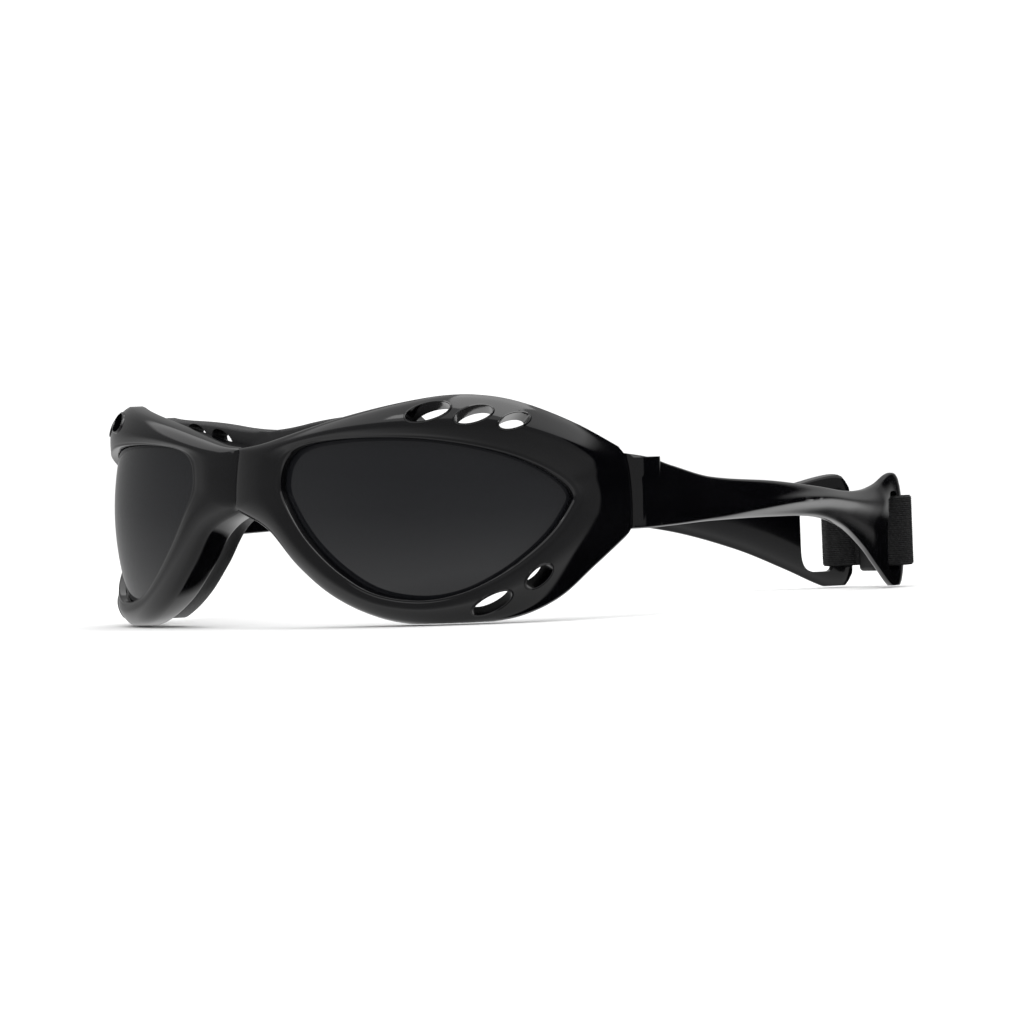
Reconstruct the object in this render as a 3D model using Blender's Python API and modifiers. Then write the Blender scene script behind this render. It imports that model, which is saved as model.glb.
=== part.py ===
"""Wraparound sport sunglasses with vents, an inner face gasket and a rear strap.

The front faces -Y, +X is the wearer's left, +Z is up, and the glasses rest on z = 0.
Outlines are given on the wrapped front surface: s runs sideways from the centre, z is height.
"""
import math

import bmesh
import bpy
from mathutils import Vector

MM = 0.001

# Front surface, in millimetres
HALF_WIDTH = 68.0
WRAP_DEPTH = 51.0
WRAP_POWER = 3.0
MID_HEIGHT = 22.0
BARREL_RADIUS = 60.0
CENTRE_OVERLAP = -1.5

# Frame, lens and gasket sections
LIP = 1.5
GROOVE = 1.0
CROWN = 0.9
LENS_FRONT = -1.8
LENS_BACK = -3.7
LENS_REACH = 0.65
GASKET_GAP = 0.35
GASKET_CREST = 3.2
SPOKE_STEPS = 2

# The front surface at the nose stands this far in front of the origin
FRONT_REACH = 91.094

# Hinge
AXIS_X = 64.3
AXIS_Y = 50.8
BARREL = 5.1
SEAT_GAP = 0.35
KNUCKLE_RADIUS = 2.6
KNUCKLE_HEIGHT = 2.4
KNUCKLE_Z = (20.2, 28.8)
PIN_RADIUS = 0.8
HEAD_RADIUS = 1.5
PIN_BOTTOM = 17.9
PIN_TOP = 31.0
LUG_S = 97.5

# Temple
TEMPLE_START_Y = 46.0
TEMPLE_TIP = (7.4, 180.5)
TEMPLE_BOW = ((66.5, 88.0), (24.0, 146.3))
SLOT_SPAN = (0.905, 0.965)
SLOT_Z = (3.2, 20.4)

# Strap
WEB_WIDTH = 15.0
WEB_THICK = 1.2
SLIDER = (5.0, 4.6, 17.5)
TAIL_X = 5.9
TAIL_Y = 180.1

# Each row: lens edge (s, z), outer edge (s, z), front-to-back depth, sharp corner in the outer edge
RIM = [
    ((15.0, 33.4), (CENTRE_OVERLAP, 36.0), 7.5, True),
    ((19.8, 36.1), (8.0, 37.2), 6.5, False),
    ((31.1, 37.2), (27.0, 41.3), 5.4, False),
    ((45.3, 37.0), (44.5, 44.2), 5.2, False),
    ((56.4, 35.7), (57.5, 45.2), 5.2, False),
    ((66.7, 33.3), (70.0, 43.8), 5.2, False),
    ((74.0, 30.4), (83.5, 39.2), 5.4, False),
    ((79.2, 27.2), (LUG_S, 32.3), 6.0, True),
    ((81.4, 24.4), (LUG_S, 24.6), 6.0, False),
    ((80.3, 22.0), (LUG_S, 17.0), 6.0, True),
    ((76.5, 17.4), (87.5, 10.0), 5.4, False),
    ((71.0, 12.9), (79.5, 4.2), 5.2, False),
    ((64.5, 9.0), (70.0, 0.8), 5.2, False),
    ((56.4, 5.9), (58.0, -0.3), 5.2, False),
    ((47.2, 4.8), (47.0, -0.3), 5.2, False),
    ((37.0, 6.4), (36.0, 1.4), 5.6, False),
    ((29.0, 10.6), (25.5, 5.6), 6.6, False),
    ((21.7, 16.7), (17.0, 11.8), 7.5, False),
    ((16.3, 23.4), (9.0, 19.4), 8.0, False),
    ((13.8, 28.4), (CENTRE_OVERLAP, 23.6), 8.0, True),
]

# Each vent: s, z, half length, half height, slant in degrees
VENTS = [
    (50.9, 41.0, 4.7, 1.9, 12.0),
    (61.0, 40.1, 3.9, 1.7, 14.0),
    (69.6, 38.6, 3.4, 1.5, 16.0),
    (63.3, 4.7, 4.4, 1.6, 27.0),
    (73.2, 9.4, 3.2, 1.6, 38.0),
]
GASKET_VENTS = [(22.5, 38.6, 3.6, 1.5, 24.0), (14.2, 37.6, 3.4, 1.4, 24.0)]


def clear_scene():
    for obj in list(bpy.data.objects):
        bpy.data.objects.remove(obj, do_unlink=True)


def make_collection(name):
    collection = bpy.data.collections.new(name)
    bpy.context.scene.collection.children.link(collection)
    return collection


def make_material(name, colour, roughness, metallic=0.0):
    material = bpy.data.materials.new(name)
    material.use_nodes = True
    shader = material.node_tree.nodes["Principled BSDF"]
    shader.inputs["Base Color"].default_value = (*colour, 1.0)
    shader.inputs["Roughness"].default_value = roughness
    shader.inputs["Metallic"].default_value = metallic
    material.diffuse_color = (*colour, 1.0)
    return material


def wrap_table(steps=1500):
    """Points along the plan curve, a quarter of a superellipse, with their arc lengths."""
    rows = [(0.0, 0.0, 0.0)]
    for i in range(1, steps + 1):
        angle = 0.5 * math.pi * i / steps
        x = HALF_WIDTH * math.sin(angle) ** (2.0 / WRAP_POWER)
        y = WRAP_DEPTH * (1.0 - max(math.cos(angle), 0.0) ** (2.0 / WRAP_POWER))
        length, last_x, last_y = rows[-1]
        rows.append((length + math.hypot(x - last_x, y - last_y), x, y))
    return rows


WRAP = wrap_table()


def wrap_point(s):
    """X and Y at arc length s; the curve carries on straight past either end."""
    if s <= 0.0:
        return s, 0.0
    low, high = 0, len(WRAP) - 1
    while high - low > 1:
        middle = (low + high) // 2
        if WRAP[middle][0] > s:
            high = middle
        else:
            low = middle
    (s0, x0, y0), (s1, x1, y1) = WRAP[low], WRAP[high]
    share = (s - s0) / (s1 - s0)
    return x0 + (x1 - x0) * share, y0 + (y1 - y0) * share


def front_point(s, z, d):
    """A point d outside the wrapped, barrelled front surface, in metres."""
    reach = 0.5
    x0, y0 = wrap_point(s - reach)
    x1, y1 = wrap_point(s + reach)
    x, y = wrap_point(s)
    tangent = Vector((x1 - x0, y1 - y0, 0.0)).normalized()
    normal = Vector((tangent.y, -tangent.x, 0.0))
    offset = d - (z - MID_HEIGHT) ** 2 / (2.0 * BARREL_RADIUS)
    return (Vector((x, y, z)) + normal * offset) * MM


def front_normal(s, z):
    here = front_point(s, z, 0.0)
    along = front_point(s + 0.5, z, 0.0) - here
    up = front_point(s, z + 0.5, 0.0) - here
    return along.cross(up).normalized()


def spline(p0, p1, p2, p3, t):
    """Catmull-Rom point between p1 and p2."""
    values = []
    for a, b, c, d in zip(p0, p1, p2, p3):
        values.append(0.5 * (2 * b + (c - a) * t + (2 * a - 5 * b + 4 * c - d) * t * t
                             + (3 * b - a - 3 * c + d) * t ** 3))
    return values


def rim_spokes(steps):
    """Spokes from the lens edge to the outer edge, all the way round one eye."""
    count = len(RIM)
    spokes = []
    for i in range(count):
        rows = [RIM[(i + k) % count] for k in (-1, 0, 1, 2)]
        inner = [row[0] for row in rows]
        outer = [row[1] for row in rows]
        if rows[1][3]:
            outer[0] = [2 * b - c for b, c in zip(outer[1], outer[2])]
        if rows[2][3]:
            outer[3] = [2 * b - a for a, b in zip(outer[1], outer[2])]
        for k in range(steps):
            t = k / steps
            depth = rows[1][2] * (1 - t) + rows[2][2] * t
            spokes.append((spline(*inner, t), spline(*outer, t), depth))
    return spokes


def along_spoke(spoke, share, extra=0.0):
    """(s, z) a share of the way along a spoke, plus some millimetres further out."""
    (s0, z0), (s1, z1), _ = spoke
    length = math.hypot(s1 - s0, z1 - z0)
    share += extra / length
    return s0 + (s1 - s0) * share, z0 + (z1 - z0) * share


def smooth_step(low, high, value):
    t = min(max((value - low) / (high - low), 0.0), 1.0)
    return t * t * (3.0 - 2.0 * t)


def mesh_object(name, verts, faces, collection, material=None):
    mesh = bpy.data.meshes.new(name)
    mesh.from_pydata([tuple(v) for v in verts], [], faces)
    bm = bmesh.new()
    bm.from_mesh(mesh)
    bmesh.ops.recalc_face_normals(bm, faces=bm.faces)
    bm.to_mesh(mesh)
    bm.free()
    obj = bpy.data.objects.new(name, mesh)
    collection.objects.link(obj)
    if material:
        mesh.materials.append(material)
    return obj


def ring_loft(name, sections, collection, material):
    """A closed ring through closed sections of equal size."""
    size = len(sections[0])
    verts = [point for section in sections for point in section]
    faces = []
    for i in range(len(sections)):
        j = (i + 1) % len(sections)
        for k in range(size):
            m = (k + 1) % size
            faces.append((i * size + k, j * size + k, j * size + m, i * size + m))
    return mesh_object(name, verts, faces, collection, material)


def bar_loft(name, sections, collection, material):
    """A closed bar through closed sections, capped at both ends."""
    size = len(sections[0])
    verts = [point for section in sections for point in section]
    faces = []
    for i in range(len(sections) - 1):
        for k in range(size):
            m = (k + 1) % size
            faces.append((i * size + k, (i + 1) * size + k, (i + 1) * size + m, i * size + m))
    faces.append(tuple(range(size)))
    faces.append(tuple((len(sections) - 1) * size + k for k in reversed(range(size))))
    return mesh_object(name, verts, faces, collection, material)


def mirror_half(obj):
    modifier = obj.modifiers.new("mirror", "MIRROR")
    modifier.use_axis = (True, False, False)
    modifier.use_bisect_axis = (True, False, False)
    modifier.merge_threshold = 0.00001


def apply_modifiers(obj):
    """Replace the mesh by the evaluated one, so that later cuts see a plain mesh."""
    depsgraph = bpy.context.evaluated_depsgraph_get()
    mesh = bpy.data.meshes.new_from_object(obj.evaluated_get(depsgraph))
    obj.modifiers.clear()
    obj.data = mesh


def combine(obj, tool, operation):
    """Cut or join; the EXACT solver empties the temple at its hinge pockets, so this is MANIFOLD."""
    modifier = obj.modifiers.new(tool.name, "BOOLEAN")
    modifier.operation = operation
    modifier.object = tool
    modifier.solver = "MANIFOLD"
    tool.hide_render = True
    tool.display_type = "WIRE"


def box_tool(name, low, high, collection):
    bm = bmesh.new()
    bmesh.ops.create_cube(bm, size=1.0)
    size = Vector(high) - Vector(low)
    middle = (Vector(high) + Vector(low)) * 0.5
    for vert in bm.verts:
        vert.co = Vector(c * e for c, e in zip(vert.co, size)) + middle
        vert.co *= MM
    return bmesh_object(name, bm, collection)


def cylinder_tool(name, x, y, z0, z1, radius, collection, segments=28):
    bm = bmesh.new()
    bmesh.ops.create_cone(bm, cap_ends=True, segments=segments, radius1=radius * MM,
                          radius2=radius * MM, depth=(z1 - z0) * MM)
    bmesh.ops.translate(bm, verts=bm.verts, vec=Vector((x, y, (z0 + z1) / 2)) * MM)
    return bmesh_object(name, bm, collection)


def bmesh_object(name, bm, collection):
    mesh = bpy.data.meshes.new(name)
    bm.to_mesh(mesh)
    bm.free()
    obj = bpy.data.objects.new(name, mesh)
    collection.objects.link(obj)
    return obj


def vent_tool(name, vent, side, depth, collection, segments=20, length=16.0):
    """An oval cutter along the local normal of the front surface."""
    s, z, half_long, half_high, slant = vent
    centre = front_point(s, z, depth)
    normal = front_normal(s, z)
    along = (front_point(s + 0.5, z, depth) - front_point(s - 0.5, z, depth)).normalized()
    up = normal.cross(along)
    turn = math.radians(slant)
    long_axis = along * math.cos(turn) + up * math.sin(turn)
    short_axis = up * math.cos(turn) - along * math.sin(turn)
    bm = bmesh.new()
    bmesh.ops.create_cone(bm, cap_ends=True, segments=segments, radius1=1.0, radius2=1.0, depth=1.0)
    for vert in bm.verts:
        x, y, h = vert.co
        vert.co = (centre + long_axis * (x * half_long * MM) + short_axis * (y * half_high * MM)
                   + normal * (h * length * MM))
        vert.co.x *= side
    if side < 0:
        bmesh.ops.reverse_faces(bm, faces=bm.faces)
    return bmesh_object(name, bm, collection)


def frame_section(spoke):
    """Section from the front lip over the crown to the back, with the lens groove."""
    depth = spoke[2]
    outline = [
        (0.0, 0.0, 0.0),
        (0.12, 0.0, 0.35),
        (0.38, 0.0, CROWN),
        (0.68, 0.0, CROWN * 0.7),
        (0.9, 0.0, -0.2),
        (1.0, 0.0, -1.4),
        (1.0, 0.0, -depth + 1.2),
        (0.92, 0.0, -depth + 0.2),
        (0.5, 0.0, -depth),
        (0.0, 0.0, -depth + 0.1),
        (0.0, 0.0, LENS_BACK - 0.35),
        (0.0, GROOVE, LENS_BACK - 0.35),
        (0.0, GROOVE, -LIP),
        (0.0, 0.0, -LIP),
    ]
    return [front_point(*along_spoke(spoke, share, extra), d) for share, extra, d in outline]


def make_frame(parts, tools, material):
    sections = [frame_section(spoke) for spoke in rim_spokes(SPOKE_STEPS)]
    frame = ring_loft("front_frame", sections, parts, material)
    mirror_half(frame)
    apply_modifiers(frame)
    for side, word in ((1, "left"), (-1, "right")):
        for i, vent in enumerate(VENTS):
            combine(frame, vent_tool(f"vent_{word}_{i}", vent, side, -3.0, tools), "DIFFERENCE")
        seat = cylinder_tool(f"hinge_seat_{word}", side * AXIS_X, AXIS_Y, 10.0, 40.0,
                             BARREL + SEAT_GAP, tools, 48)
        combine(frame, seat, "DIFFERENCE")
        for i, z in enumerate(KNUCKLE_Z):
            low, high = z - KNUCKLE_HEIGHT / 2, z + KNUCKLE_HEIGHT / 2
            knuckle = cylinder_tool(f"knuckle_{word}_{i}", side * AXIS_X, AXIS_Y, low, high,
                                    KNUCKLE_RADIUS, tools)
            edges = sorted((side * (AXIS_X - 2.4), side * (AXIS_X - 0.3)))
            neck = box_tool(f"neck_{word}_{i}", (edges[0], AXIS_Y - 6.6, low + 0.01),
                            (edges[1], AXIS_Y, high - 0.01), tools)
            combine(frame, neck, "UNION")
            combine(frame, knuckle, "UNION")
        bore = cylinder_tool(f"frame_bore_{word}", side * AXIS_X, AXIS_Y, 10.0, 40.0,
                             PIN_RADIUS + 0.3, tools, 20)
        combine(frame, bore, "DIFFERENCE")
    combine(frame, box_tool("table_cut", (-90, -30, -9), (90, 80, 0), tools), "DIFFERENCE")
    return frame


def make_lens(name, side, parts, material):
    """A curved lens held in the groove round the opening."""
    spokes = rim_spokes(SPOKE_STEPS)
    edge = [along_spoke(spoke, 0.0, LENS_REACH) for spoke in spokes]
    centre = (47.0, 21.5)
    verts = []
    shares = (0.35, 0.7, 1.0)
    for d in (LENS_FRONT, LENS_BACK):
        verts.append(front_point(*centre, d))
        for share in shares:
            for s, z in edge:
                verts.append(front_point(centre[0] + (s - centre[0]) * share,
                                         centre[1] + (z - centre[1]) * share, d))
    count = len(edge)
    half = 1 + count * len(shares)
    faces = []
    for base in (0, half):
        for k in range(count):
            m = (k + 1) % count
            faces.append((base, base + 1 + k, base + 1 + m))
            for ring in range(len(shares) - 1):
                a = base + 1 + ring * count
                faces.append((a + k, a + count + k, a + count + m, a + m))
    outer = 1 + count * (len(shares) - 1)
    for k in range(count):
        m = (k + 1) % count
        faces.append((outer + k, half + outer + k, half + outer + m, outer + m))
    verts = [Vector((side * v.x, v.y, v.z)) for v in verts]
    return mesh_object(name, verts, faces, parts, material)


def gasket_section(spoke):
    """Soft seal behind the rim; it stands up above the frame over the brow."""
    front = -spoke[2] - GASKET_GAP
    back = front - 4.2
    s1, z1 = spoke[1]
    crest = 0.0
    if z1 > 33.0:
        crest = GASKET_CREST * (1.0 - smooth_step(5.0, 42.0, s1))
    inner = along_spoke(spoke, 0.12, 0.6)
    reach = 1.0 - 0.16 * smooth_step(CENTRE_OVERLAP, 9.0, s1)
    reach *= 1.0 - 0.62 * smooth_step(40.0, 48.0, s1)
    outer = along_spoke(spoke, reach)
    s0, z0 = inner
    s2, z2 = outer[0], outer[1] + crest
    rows = [
        (0.0, front - 0.5),
        (0.18, front),
        (0.85, front),
        (1.0, front - 0.9),
        (1.0, back + 0.9),
        (0.85, back),
        (0.18, back),
        (0.0, back + 0.5),
    ]
    return [front_point(s0 + (s2 - s0) * w, z0 + (z2 - z0) * w, d) for w, d in rows]


def make_gasket(parts, tools, material):
    spokes = rim_spokes(SPOKE_STEPS)
    short = []
    for inner, outer, depth in spokes:
        outer = (min(outer[0], 91.0), outer[1])
        short.append((inner, outer, depth))
    gasket = ring_loft("face_gasket", [gasket_section(spoke) for spoke in short], parts, material)
    mirror_half(gasket)
    apply_modifiers(gasket)
    for side, word in ((1, "left"), (-1, "right")):
        for i, vent in enumerate(GASKET_VENTS):
            combine(gasket, vent_tool(f"gasket_vent_{word}_{i}", vent, side, -9.0, tools),
                    "DIFFERENCE")
    return gasket


def bezier(p0, p1, p2, p3, t):
    """Point and tangent of a cubic curve in plan."""
    u = 1.0 - t
    point = [u ** 3 * a + 3 * u * u * t * b + 3 * u * t * t * c + t ** 3 * d
             for a, b, c, d in zip(p0, p1, p2, p3)]
    tangent = [3 * u * u * (b - a) + 6 * u * t * (c - b) + 3 * t * t * (d - c)
               for a, b, c, d in zip(p0, p1, p2, p3)]
    length = math.hypot(*tangent)
    return point, (tangent[0] / length, tangent[1] / length)


# Temple: share of length, bottom, top and thickness
TEMPLE_SHAPE = [
    (0.0, 17.0, 32.2, 6.0),
    (0.05, 17.0, 31.2, 6.0),
    (0.10, 17.2, 29.4, 5.4),
    (0.20, 17.6, 26.6, 4.6),
    (0.40, 17.4, 24.8, 4.0),
    (0.58, 16.4, 22.8, 3.8),
    (0.70, 13.6, 21.4, 3.6),
    (0.80, 9.0, 21.2, 3.5),
    (0.88, 4.0, 22.2, 3.4),
    (0.94, 0.2, 23.9, 3.4),
    (0.97, -0.6, 24.3, 3.4),
    (0.988, 0.2, 23.6, 3.2),
    (1.0, 2.4, 21.4, 2.6),
]


def temple_size(t):
    for (t0, *low), (t1, *high) in zip(TEMPLE_SHAPE, TEMPLE_SHAPE[1:]):
        if t <= t1:
            share = (t - t0) / (t1 - t0)
            share = share * share * (3 - 2 * share) * 0.5 + share * 0.5
            return [a + (b - a) * share for a, b in zip(low, high)]
    return TEMPLE_SHAPE[-1][1:]


def temple_path(t):
    start = (65.8, TEMPLE_START_Y)
    return bezier(start, *TEMPLE_BOW, TEMPLE_TIP, t)


def temple_section(t, side):
    """Rounded tall section across the temple's path."""
    (x, y), (tx, ty) = temple_path(t)
    bottom, top, thick = temple_size(t)
    middle, half = (bottom + top) / 2, (top - bottom) / 2
    points = []
    for across, up in ((-1, -0.72), (-1, 0.72), (-0.72, 0.93), (0, 1), (0.72, 0.93), (1, 0.72),
                       (1, -0.72), (0.72, -0.93), (0, -1), (-0.72, -0.93)):
        offset = across * thick / 2
        points.append(Vector((side * (x + ty * offset), y - tx * offset, middle + up * half)) * MM)
    return points


def slot_tool(name, side, tools):
    """A tall rounded opening for the webbing, square to the temple's face."""
    (x0, y0), _ = temple_path(SLOT_SPAN[0])
    (x1, y1), _ = temple_path(SLOT_SPAN[1])
    middle = Vector(((x0 + x1) / 2, (y0 + y1) / 2, sum(SLOT_Z) / 2))
    along = Vector((x1 - x0, y1 - y0, 0.0))
    half_long = along.length / 2
    along.normalize()
    across = Vector((along.y, -along.x, 0.0))
    half_high = (SLOT_Z[1] - SLOT_Z[0]) / 2
    bm = bmesh.new()
    bmesh.ops.create_cone(bm, cap_ends=True, segments=24, radius1=1.0, radius2=1.0, depth=1.0)
    for vert in bm.verts:
        a, b, h = vert.co
        power = 0.25 if a > 0.0 else 0.75
        a = math.copysign(abs(a) ** power, a) * half_long
        b = math.copysign(abs(b) ** 0.4, b) * half_high
        vert.co = (middle + along * a + across * (h * 12.0) + Vector((0, 0, b))) * MM
        vert.co.x *= side
    if side < 0:
        bmesh.ops.reverse_faces(bm, faces=bm.faces)
    return bmesh_object(name, bm, tools)


def make_temple(word, side, parts, tools, material):
    steps = 30
    sections = [temple_section(i / steps, side) for i in range(steps + 1)]
    temple = bar_loft(f"temple_{word}", sections, parts, material)
    barrel = cylinder_tool(f"barrel_{word}", side * AXIS_X, AXIS_Y, 17.6, 31.2, BARREL, tools, 48)
    flank = sorted((side * (AXIS_X - 12.0), side * (AXIS_X + 12.0)))
    trim = box_tool(f"trim_{word}", (flank[0], AXIS_Y - 12.0, 5.0),
                    (flank[1], AXIS_Y - 0.07, 45.0), tools)
    keep = cylinder_tool(f"keep_{word}", side * AXIS_X, AXIS_Y, 0.0, 50.0, BARREL, tools, 48)
    combine(trim, keep, "DIFFERENCE")
    apply_modifiers(trim)
    side_cut = sorted((side * (AXIS_X + 4.45), side * (AXIS_X + 12.0)))
    shave = box_tool(f"shave_{word}", (side_cut[0], AXIS_Y - 12.0, 0.0),
                     (side_cut[1], AXIS_Y + 7.0, 50.0), tools)
    combine(barrel, shave, "DIFFERENCE")
    apply_modifiers(barrel)
    combine(temple, barrel, "UNION")
    combine(temple, trim, "DIFFERENCE")
    for i, z in enumerate(KNUCKLE_Z):
        low, high = z - KNUCKLE_HEIGHT / 2 - 0.3, z + KNUCKLE_HEIGHT / 2 + 0.3
        disc = cylinder_tool(f"pocket_{word}_{i}", side * AXIS_X, AXIS_Y, low, high,
                             KNUCKLE_RADIUS + 0.35, tools)
        edges = sorted((side * (AXIS_X - 3.0), side * (AXIS_X + 2.2)))
        sweep = box_tool(f"sweep_{word}_{i}", (edges[0], AXIS_Y - 8.0, low + 0.013),
                         (edges[1], AXIS_Y + 0.31, high - 0.013), tools)
        combine(temple, sweep, "DIFFERENCE")
        combine(temple, disc, "DIFFERENCE")
    bore = cylinder_tool(f"temple_bore_{word}", side * AXIS_X, AXIS_Y, PIN_BOTTOM + 0.5, 40.0,
                         PIN_RADIUS + 0.3, tools, 20)
    combine(temple, bore, "DIFFERENCE")
    counterbore = cylinder_tool(f"counterbore_{word}", side * AXIS_X, AXIS_Y, 10.0,
                                PIN_BOTTOM + 0.95, HEAD_RADIUS + 0.3, tools, 24)
    combine(temple, counterbore, "DIFFERENCE")
    combine(temple, slot_tool(f"slot_{word}", side, tools), "DIFFERENCE")
    table = box_tool(f"table_cut_{word}", (-90, 100, -9), (90, 200, 0), tools)
    combine(temple, table, "DIFFERENCE")
    return temple


def make_pin(word, side, parts, material):
    """A headed screw; the head sits in the temple's counterbore."""
    bm = bmesh.new()
    rings = [(PIN_BOTTOM - 0.5, HEAD_RADIUS), (PIN_BOTTOM + 0.6, HEAD_RADIUS),
             (PIN_BOTTOM + 0.6, PIN_RADIUS), (PIN_TOP, PIN_RADIUS)]
    segments = 20
    loops = []
    for z, radius in rings:
        loop = []
        for k in range(segments):
            angle = 2 * math.pi * k / segments
            loop.append(bm.verts.new(Vector((side * AXIS_X + radius * math.cos(angle),
                                             AXIS_Y + radius * math.sin(angle), z)) * MM))
        loops.append(loop)
    for low, high in zip(loops, loops[1:]):
        for k in range(segments):
            m = (k + 1) % segments
            bm.faces.new((low[k], low[m], high[m], high[k]))
    bm.faces.new(list(reversed(loops[0])))
    bm.faces.new(loops[-1])
    bmesh.ops.recalc_face_normals(bm, faces=bm.faces)
    pin = bmesh_object(f"hinge_screw_{word}", bm, parts)
    pin.data.materials.append(material)
    return pin


def strap_outline():
    """Plan outline of the webbing: a loop round the end bar with a short tail to the slider."""
    near, far = Vector(temple_path(SLOT_SPAN[1])[0]), Vector(temple_path(1.0)[0])
    along = (far - near).normalized()
    across = Vector((along.y, -along.x))
    middle = (near + far) / 2
    inside_long, inside_thick = (far - near).length / 2 + 0.7, 2.3
    outside_long, outside_thick = inside_long + WEB_THICK, inside_thick + WEB_THICK

    def ring(a, b):
        points = []
        for k in range(20):
            angle = 2 * math.pi * k / 20
            ca, sa = math.cos(angle), math.sin(angle)
            u = math.copysign(abs(ca) ** 0.55, ca) * a
            v = math.copysign(abs(sa) ** 0.55, sa) * b
            points.append(middle + along * u + across * v)
        return points

    return ring(outside_long, outside_thick), ring(inside_long, inside_thick)


def make_strap(word, side, parts, tools, material):
    outer, inner = strap_outline()
    z0 = (sum(SLOT_Z) - WEB_WIDTH) / 2
    z1 = z0 + WEB_WIDTH
    count = len(outer)
    verts = []
    for points in (outer, inner):
        for z in (z0, z1):
            verts += [Vector((side * p.x, p.y, z)) * MM for p in points]
    faces = []
    for k in range(count):
        m = (k + 1) % count
        faces.append((k, m, count + m, count + k))
        faces.append((2 * count + m, 2 * count + k, 3 * count + k, 3 * count + m))
        faces.append((m, k, 2 * count + k, 2 * count + m))
        faces.append((count + k, count + m, 3 * count + m, 3 * count + k))
    strap = mesh_object(f"strap_{word}", verts, faces, parts, material)
    edges = sorted((side * (SLIDER[0] / 2 + 0.4), side * TAIL_X))
    tail = box_tool(f"tail_{word}", (edges[0], TAIL_Y - WEB_THICK, z0 + 0.01),
                    (edges[1], TAIL_Y + WEB_THICK, z1 - 0.01), tools)
    combine(strap, tail, "UNION")
    return strap


def make_slider(parts, material):
    """The adjuster block in the middle of the strap."""
    y = TAIL_Y
    z = sum(SLOT_Z) / 2
    half = [v / 2 for v in SLIDER]
    slider = box_tool("strap_slider", (-half[0], y - half[1], z - half[2]),
                      (half[0], y + half[1], z + half[2]), parts)
    bevel = slider.modifiers.new("bevel", "BEVEL")
    bevel.width = 0.9 * MM
    bevel.segments = 3
    slider.data.materials.append(material)
    return slider


def move_to_origin(parts, tools):
    """Centre the glasses over the origin and hang each temple's pieces on its hinge axis."""
    shift = Vector((0.0, -FRONT_REACH * MM, 0.0))
    for obj in list(parts.objects) + list(tools.objects):
        obj.location += shift
    for word, side in (("left", 1), ("right", -1)):
        axis = bpy.data.objects.new(f"hinge_axis_{word}", None)
        axis.location = Vector((side * AXIS_X, AXIS_Y, 0.0)) * MM + shift
        parts.objects.link(axis)
        names = [f"temple_{word}", f"strap_{word}"]
        if side > 0:
            names.append("strap_slider")
        for name in names:
            piece = parts.objects[name]
            piece.parent = axis
            piece.location -= axis.location


def main():
    clear_scene()
    parts = make_collection("sport_sunglasses")
    tools = make_collection("cutters")
    frame_black = make_material("gloss_black", (0.008, 0.008, 0.01), 0.12)
    smoke = make_material("smoke_lens", (0.02, 0.021, 0.024), 0.08)
    rubber = make_material("soft_black", (0.02, 0.02, 0.022), 0.5)
    webbing = make_material("black_webbing", (0.015, 0.015, 0.016), 0.8)
    steel = make_material("screw_steel", (0.35, 0.35, 0.36), 0.3, 1.0)
    make_frame(parts, tools, frame_black)
    make_gasket(parts, tools, rubber)
    make_slider(parts, frame_black)
    for word, side in (("left", 1), ("right", -1)):
        make_lens(f"lens_{word}", side, parts, smoke)
        make_temple(word, side, parts, tools, frame_black)
        make_pin(word, side, parts, steel)
        make_strap(word, side, parts, tools, webbing)
    move_to_origin(parts, tools)


main()
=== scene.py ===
"""Looks for the wraparound sport sunglasses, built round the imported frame.

The front faces -Y, +X is the wearer's left, +Z is up. Shapes are in millimetres and become metres
in place(). s runs sideways along the wrapped front, z is height, d stands out from the surface.
"""
import math

import bmesh
import bpy
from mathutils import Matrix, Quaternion, Vector
from mathutils.bvhtree import BVHTree


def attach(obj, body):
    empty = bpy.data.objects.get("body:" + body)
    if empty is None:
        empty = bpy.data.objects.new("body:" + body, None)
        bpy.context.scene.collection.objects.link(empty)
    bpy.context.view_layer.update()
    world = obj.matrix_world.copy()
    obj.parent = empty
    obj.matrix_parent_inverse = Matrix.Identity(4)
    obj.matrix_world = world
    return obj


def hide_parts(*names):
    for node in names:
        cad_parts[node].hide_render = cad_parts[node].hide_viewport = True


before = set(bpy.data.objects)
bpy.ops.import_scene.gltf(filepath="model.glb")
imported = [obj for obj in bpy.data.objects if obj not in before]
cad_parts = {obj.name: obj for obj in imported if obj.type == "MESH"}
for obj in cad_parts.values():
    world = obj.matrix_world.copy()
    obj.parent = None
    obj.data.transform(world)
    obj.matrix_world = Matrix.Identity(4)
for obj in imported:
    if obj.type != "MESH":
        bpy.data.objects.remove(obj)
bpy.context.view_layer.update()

MM = 0.001
FRONT_REACH = 91.094

# Front surface
HALF_WIDTH = 68.0
WRAP_DEPTH = 51.0
WRAP_POWER = 3.0
MID_HEIGHT = 22.0
BARREL_RADIUS = 60.0
CENTRE_OVERLAP = -1.5

# Frame, lens and gasket sections
LIP = 1.5
GROOVE = 1.0
CROWN = 0.9
LENS_FRONT = -1.8
LENS_BACK = -3.7
LENS_REACH = 0.65
LENS_CENTRE = (47.0, 21.5)
LENS_RINGS = 16
LENS_BEVEL = 0.15
GASKET_GAP = 0.35
GASKET_THICK = 4.2
GASKET_CREST = 3.2
GASKET_END_S = 91.0
FINE_STEPS = 8

# Boxes below the table that trim the front and the temples flat
FRONT_FLOOR_CUT = ((-90, -30, -9), (90, 80, 0))
TEMPLE_FLOOR_CUT = ((-90, 100, -9), (90, 200, 0))

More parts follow.
